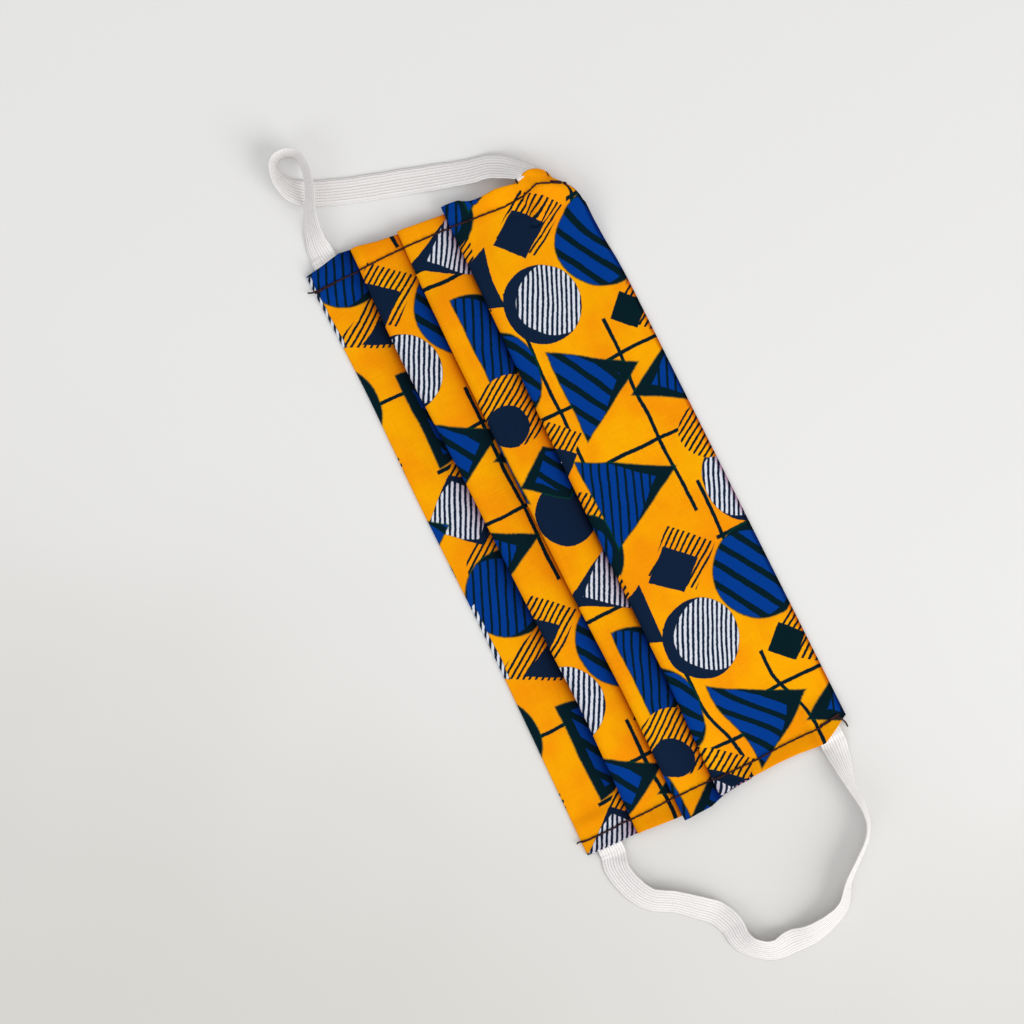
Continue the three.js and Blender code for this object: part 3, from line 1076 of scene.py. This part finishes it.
REPEAT_U = 114.0
REPEAT_V = 97.0
PRINT_EDGE = 0.25  # softness of a printed edge
RULE_HALF = 0.62  # half the width of a thin line
FRINGE = (0.3, 0.6, 0.85)  # reach, softness and strength of the green beside the blue
FRAME_LEAN = 1.2  # how fast a dark edge widens across its figure
FRAME_MIDDLE = 0.45  # share of its width at the figure's middle
# Scale and amount of the pattern's drift over the cloth and of the roughness of its edges
DRIFT = (0.05, 2.2)
ROUGH = (1.1, 0.4)
# Slant, pitch and width of the stripes that figures are filled with
STRIPES = {
    "bars": (0.42, 2.8, 0.85),
    "wide": (-0.62, 6.4, 2.3),
    "pins": (0.5, 1.75, 0.85),
    "hatch": (0.7, 2.1, 0.9),
}

PRINT = table_of(Motif, [
    ("disc", "hatch", 8, 15, 12, 12),
    ("disc", "bars", 16, 12, 13.5, 13.5, 3.4),
    ("triangle", "hatch", 38, 9, 12, -12),
    ("triangle", "navy", 41, 15, 10, -10),
    ("half", "wide", 70, 18, 16, 15, 3.2, -1),
    ("diamond", "hatch", 96, 17, 12, 13),
    ("diamond", "pins", 101, 12, 12, 14, 3.4),
    ("triangle", "bars", 4, 38, 15, 14, 3.2),
    ("diamond", "hatch", 30, 41, 11, 12),
    ("diamond", "navy", 32, 37, 8, 9),
    ("disc", "pins", 55, 36, 12.5, 12.5, 3.8, -1),
    ("triangle", "wide", 84, 43, 15, 12.5, 3.2),
    ("half", "pins", 16, 64, 14, -14, 3.0),
    ("disc", "wide", 44, 62, 15, 15, 3.6),
    ("diamond", "hatch", 68, 66, 11, 11),
    ("diamond", "dark", 68, 60, 6.5, 6.5),
    ("triangle", "bars", 92, 64, 16, -14, 3.2, -1),
    ("disc", "hatch", 112, 66, 9, 9),
    ("disc", "navy", 2, 87, 10, 10),
    ("triangle", "pins", 27, 86, 13, -12, 3.0, -1),
    ("half", "bars", 57, 91, 16, 15, 3.2),
    ("disc", "hatch", 80, 86, 11, 11),
    ("disc", "navy", 84, 83, 6.5, 6.5),
    ("diamond", "wide", 103, 90, 9, 12, 2.6, -1),
])

# Thin lines that run across the pattern: place along u, the part of v they fill and its length
RULES = [(29, 74, 40), (35, 78, 30), (60, 3, 26), (79, 62, 34), (87, 20, 22), (108, 44, 40)]
# The same along it: place along v, the part of u they fill and its length
LONG_RULES = [(26.5, 84, 74), (51.5, 100, 66), (56, 26, 30), (74.5, 62, 90)]


def folded_difference(n, value, centre, repeat):
    """Distance from a centre along one axis of a pattern that repeats."""
    moved = n.math("SUBTRACT", value, centre - repeat / 2)
    wrapped = n.math("FLOORED_MODULO", moved, repeat)
    return n.math("SUBTRACT", wrapped, repeat / 2)


def triangle_distance(n, du, dv, half_u, half_v):
    """Signed distance to a triangle with a level base; it points towards the sign of half_v."""
    height = abs(half_v)
    up = n.math("MULTIPLY", dv, math.copysign(1.0, half_v))
    base = n.math("SUBTRACT", -height, up)
    slope = 2 * height / half_u
    size = math.hypot(1.0, slope)
    flank = n.math("MULTIPLY_ADD", du, slope / size, -height / size)
    flank = n.math("MULTIPLY_ADD", up, 1.0 / size, flank)
    return n.math("MAXIMUM", base, flank)


def disc_distance(n, du, dv, radius):
    size = n.math("SQRT", n.math("MULTIPLY_ADD", du, du, n.math("MULTIPLY", dv, dv)))
    return n.math("SUBTRACT", size, radius)


def motif_distance(n, motif, u, v):
    """Signed distance in millimetres, below 0 inside the figure, and the place across it."""
    du = n.math("ABSOLUTE", folded_difference(n, u, motif.u, REPEAT_U))
    dv = folded_difference(n, v, motif.v, REPEAT_V)
    if motif.shape == "triangle":
        return triangle_distance(n, du, dv, motif.half_u, motif.half_v), dv
    if motif.shape == "disc":
        return disc_distance(n, du, dv, motif.half_u), dv
    if motif.shape == "half":
        moved = n.math("ADD", dv, motif.half_v / 2)
        flat = n.math("MULTIPLY", moved, -math.copysign(1.0, motif.half_v))
        return n.math("MAXIMUM", disc_distance(n, du, moved, motif.half_u), flat), dv
    su = n.math("DIVIDE", du, motif.half_u)
    sv = n.math("DIVIDE", n.math("ABSOLUTE", dv), motif.half_v)
    scale = 1 / math.hypot(1 / motif.half_u, 1 / motif.half_v)
    return n.math("MULTIPLY_ADD", n.math("ADD", su, sv), scale, -scale), dv


def stripes(n, kind, run, across):
    """1 on the stripes of a fill."""
    slant, pitch, width = STRIPES[kind]
    wrapped = n.math("FLOORED_MODULO", n.math("MULTIPLY_ADD", run, slant, across), pitch)
    away = n.math("ABSOLUTE", n.math("SUBTRACT", wrapped, pitch / 2))
    return n.soft_step(away, width / 2, PRINT_EDGE)


def rule_share(n, across, along, rule):
    """1 on a thin line of the print, over its part; across and along are values with their repeats."""
    place, middle, length = rule
    away = n.math("ABSOLUTE", folded_difference(n, across[0], place, across[1]))
    line = n.soft_step(away, RULE_HALF, PRINT_EDGE)
    reach = n.math("ABSOLUTE", folded_difference(n, along[0], middle, along[1]))
    return n.math("MULTIPLY", line, n.soft_step(reach, length / 2, 0.5))


def shaken(n, uv, size, amount):
    """Cloth coordinates moved about a little, as printing blurs an edge."""
    wobble = n.noise(uv, size, output="Color")
    shake = n.vector_math("SUBTRACT", wobble, (0.5, 0.5, 0.5))
    flat = n.vector_math("MULTIPLY", shake, (amount, amount, 0.0))
    return n.vector_math("ADD", flat, uv)


def print_fills(n, u, v, ground):
    """The colours that figures are filled with."""
    return {
        "bars": n.mix(stripes(n, "bars", u, v), BLUE, INK),
        "wide": n.mix(stripes(n, "wide", u, v), BLUE, INK),
        "pins": n.mix(stripes(n, "pins", u, v), NAVY, WHITE),
        "hatch": n.mix(stripes(n, "hatch", v, u), ground, INK),
        "navy": NAVY,
        "dark": INK,
    }


def print_motif(n, colour, motif, u, v, fill):
    """A figure over the colour so far."""
    distance, dv = motif_distance(n, motif, u, v)
    if motif.fill in ("bars", "wide"):
        reach, softness, strength = FRINGE
        fringe = n.soft_step(distance, reach, softness)
        colour = n.mix(n.math("MULTIPLY", fringe, strength), colour, GREEN)
    outer = n.soft_step(distance, 0.0, PRINT_EDGE)
    if not motif.frame:
        return n.mix(outer, colour, fill)
    colour = n.mix(outer, colour, NAVY if motif.fill == "pins" else INK)
    lean = motif.lean * FRAME_LEAN / abs(motif.half_v)
    share = n.math("MULTIPLY_ADD", dv, lean, FRAME_MIDDLE, clamp=True)
    inner = n.math("MULTIPLY_ADD", share, motif.frame, distance)
    return n.mix(n.soft_step(inner, -0.1, PRINT_EDGE), colour, fill)


def print_colour(n, uv):
    """The printed pattern over cloth coordinates in millimetres."""
    moved = shaken(n, shaken(n, uv, *DRIFT), *ROUGH)
    u, v = n.split(moved)
    patches = n.noise(uv, 0.05, 3.0)
    ground = n.mix(n.soft_step(patches, 0.5, 0.35), YELLOW, ORANGE)
    colour = ground
    over_u, over_v = (u, REPEAT_U), (v, REPEAT_V)
    for rule in RULES:
        colour = n.mix(rule_share(n, over_u, over_v, rule), colour, INK)
    for rule in LONG_RULES:
        colour = n.mix(rule_share(n, over_v, over_u, rule), colour, INK)
    fills = print_fills(n, u, v, ground)
    for motif in PRINT:
        colour = print_motif(n, colour, motif, u, v, fills[motif.fill])
    return colour


YARN_PITCH = 0.36
YARN_RISE = 0.02
SLUB_RISE = 0.05
SLUB_SCALE = (0.12, 2.4)  # of the uneven yarns, along and across them


def weave_bump(n, uv):
    """Height of a plain weave with uneven yarns, and its slight shade."""
    u, v = n.split(uv)
    warp = n.math("SINE", n.math("MULTIPLY", u, 2 * math.pi / YARN_PITCH))
    weft = n.math("SINE", n.math("MULTIPLY", v, 2 * math.pi / YARN_PITCH))
    basket = n.math("MULTIPLY", warp, weft)
    along = n.vector_math("MULTIPLY", uv, (*SLUB_SCALE, 0.0))
    across = n.vector_math("MULTIPLY", uv, (*SLUB_SCALE[::-1], 0.0))
    slub_a = n.noise(along, 1.0)
    slub_b = n.noise(across, 1.0)
    slub = n.math("ADD", slub_a, slub_b)
    yarns = n.math("MULTIPLY", basket, YARN_RISE)
    return n.math("ADD", yarns, n.math("MULTIPLY", slub, SLUB_RISE)), slub


def cloth_material():
    material, n = new_material("printed_cotton")
    uv = n.node("ShaderNodeUVMap", uv_map="cloth").outputs["UV"]
    colour = print_colour(n, uv)
    height, slub = weave_bump(n, uv)
    shade = n.math("ADD", 0.84, n.math("MULTIPLY", slub, 0.16))
    gray = n.node("ShaderNodeCombineColor", [("Red", shade), ("Green", shade), ("Blue", shade)])
    colour = n.mix(1.0, colour, gray.outputs[0], "MULTIPLY")
    # Painted shade: the colour is darkened in the folds and on the hems by the fold_shade points
    fold = n.node("ShaderNodeAttribute", attribute_name="fold_shade").outputs["Fac"]
    colour = n.mix(fold, colour, n.mix(1.0, colour, PAINTED_FOLD_SHADE, "MULTIPLY"))
    add_shader(n, colour, height, (0.5, 0.001), [("Roughness", 0.82), ("Specular IOR Level", 0.04)])
    return material


GROOVE = (0.42, 0.16)  # of a rib's pitch: from its middle to the groove, and the groove's softness
CHEVRON_SLANT = 0.9
CHEVRON_RATE = 9.0


def elastic_material():
    material, n = new_material("white_elastic")
    uv = n.node("ShaderNodeUVMap", uv_map="band").outputs["UV"]
    run, across = n.split(uv)
    pitch = ELASTIC_WIDTH / ELASTIC_RIBS
    rib_at = n.math("FLOORED_MODULO", n.math("ADD", across, ELASTIC_WIDTH / 2), pitch)
    from_middle = n.math("ABSOLUTE", n.math("SUBTRACT", rib_at, pitch / 2))
    groove = n.math("SUBTRACT", 1.0, n.soft_step(from_middle, pitch * GROOVE[0], pitch * GROOVE[1]))
    slanted = n.math("ADD", run, n.math("MULTIPLY", from_middle, CHEVRON_SLANT))
    chevron = n.math("SINE", n.math("MULTIPLY", slanted, CHEVRON_RATE))
    streak = n.noise(uv, 0.8, 3.0)
    thread = n.mix(streak, ELASTIC_DULL, ELASTIC_BRIGHT)
    uneven = n.noise(n.node("ShaderNodeCombineXYZ", [("Y", across)]).outputs[0], 1.3, 1.0)
    strength = n.math("MULTIPLY_ADD", uneven, 1.6, -0.15, clamp=True)
    # Painted shade: the grooves between the ribs are darkened, more on some ribs than on others
    colour = n.mix(n.math("MULTIPLY", groove, strength), thread, ELASTIC_GROOVE_SHADE)
    rise = n.math("MULTIPLY", chevron, 0.06)
    values = [
        ("Roughness", 0.6),
        ("Sheen Weight", 0.2),
        ("Subsurface Weight", 0.15),
        ("Subsurface Radius", (0.001, 0.001, 0.001)),
    ]
    add_shader(n, colour, rise, (0.6, 0.001), values)
    return material


TWIST_RATE = 11.0


def thread_material():
    material, n = new_material("maroon_thread")
    uv = n.node("ShaderNodeUVMap", uv_map="thread").outputs["UV"]
    run, around = n.split(uv)
    turned = n.math("MULTIPLY", around, 4 * math.pi)
    twist = n.math("SINE", n.math("MULTIPLY_ADD", run, TWIST_RATE, turned))
    colour = n.mix(n.math("MULTIPLY_ADD", twist, 0.5, 0.5), THREAD_DARK, THREAD_LIGHT)
    rise = n.math("MULTIPLY", twist, 0.05)
    add_shader(n, colour, rise, (0.7, 0.001), [("Roughness", 0.6), ("Specular IOR Level", 0.2)])
    return material


def floor_material():
    """A matt white table with painted shade that makes it a little greyer towards one corner."""
    material, n = new_material("pale_table")
    place = n.node("ShaderNodeTexCoord").outputs["Object"]
    axis_right, axis_up = image_axes()
    # The painted shade fades out towards this direction on the table
    bright = axis_right * 0.25 + axis_up * 0.95
    along = n.vector_math("DOT_PRODUCT", place, tuple(bright))
    cloudy = n.noise(place, 9.0)
    along = n.math("MULTIPLY_ADD", cloudy, 0.08, along)
    share = n.soft_step(along, -0.045, 0.22)
    grain = n.noise(place, 900.0)
    colour = n.mix(share, FLOOR_BRIGHT, FLOOR_PAINTED_SHADE)
    add_shader(n, colour, grain, (0.08, 0.0002), [("Roughness", 0.7), ("Specular IOR Level", 0.2)])
    return material


def make_floor():
    size = 3.0
    mesh = bpy.data.meshes.new("table_top")
    corners = [(-size, -size, 0), (size, -size, 0), (size, size, 0), (-size, size, 0)]
    mesh.from_pydata(corners, [], [(0, 1, 2, 3)])
    mesh.materials.append(floor_material())
    floor = add_object("table_top", mesh)


def image_axes():
    """The image's right and up directions on the table."""
    angle = math.radians(VIEW_ANGLE)
    return Vector((math.cos(angle), math.sin(angle), 0)), Vector((-math.sin(angle), math.cos(angle), 0))


def make_camera():
    data = bpy.data.cameras.new("camera")
    data.lens = LENS
    data.sensor_width = SENSOR
    camera = add_object("camera", data)
    distance = VIEW_WIDTH * MM * LENS / SENSOR
    camera.location = (VIEW_CENTRE[0] * MM, VIEW_CENTRE[1] * MM, distance)
    camera.rotation_euler = (0, 0, math.radians(VIEW_ANGLE))
    bpy.context.scene.camera = camera


def add_area(name, right, up, height, size, power, colour=(1, 1, 1)):
    """A square light over a place given in the image's directions, aimed at the mask."""
    axis_right, axis_up = image_axes()
    data = bpy.data.lights.new(name, "AREA")
    data.shape = "SQUARE"
    data.size = size
    data.energy = power
    data.color = colour
    light = add_object(name, data)
    light.location = axis_right * right + axis_up * up + Vector((0, 0, height))
    light.rotation_euler = (-light.location).to_track_quat("-Z", "Y").to_euler()


def make_lights():
    add_area("key", 1.15, -0.8, 0.95, 1.3, 18, (1.0, 0.985, 0.965))
    add_area("second", -0.95, -1.1, 1.0, 1.1, 6.0, (0.99, 0.99, 1.0))
    add_area("top", -0.3, 0.6, 1.7, 1.8, 5.0)
    world = bpy.data.worlds.new("world")
    world.use_nodes = True
    background = world.node_tree.nodes["Background"].inputs
    background["Color"].default_value = (1, 1, 1, 1)
    background["Strength"].default_value = 0.53
    bpy.context.scene.world = world
    bpy.context.scene.view_settings.view_transform = "Standard"


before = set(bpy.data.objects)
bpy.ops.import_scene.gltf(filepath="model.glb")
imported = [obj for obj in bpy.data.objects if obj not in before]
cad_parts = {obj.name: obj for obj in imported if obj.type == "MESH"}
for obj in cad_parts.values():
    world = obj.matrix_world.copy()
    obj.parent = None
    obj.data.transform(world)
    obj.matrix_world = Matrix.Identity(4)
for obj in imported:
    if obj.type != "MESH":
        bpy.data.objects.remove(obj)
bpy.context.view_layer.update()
_, panel_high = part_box("pleated_panel")
# The CAD's middle stands off the cloth's middle; its right end and its nose edge give by how much
RIGHT_END = LENGTH / 2 + END_STEP * max(row.right for row in ENDS)
SHIFT = Vector((panel_high[0] / MM - RIGHT_END, panel_high[1] / MM - WIDTH))

make_camera()
make_floor()
make_lights()

panel = panel_mesh()
cloth = make_object("mask_cloth", panel, cloth_material(), "cloth")
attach(cloth, "root")
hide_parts("pleated_panel")

elastic = elastic_material()
for node, side, reach, route in (
    ("ear_loop_left", -1, LEFT_REACH, LEFT_ROUTE),
    ("ear_loop_right", 1, RIGHT_REACH, RIGHT_ROUTE),
):
    loop = make_object(f"{node}_elastic", loop_mesh(side, reach, route), elastic, "band")
    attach(loop, "root")
    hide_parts(node)

stitches = make_object("stitching", thread_mesh(panel), thread_material(), "thread")
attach(stitches, "root")
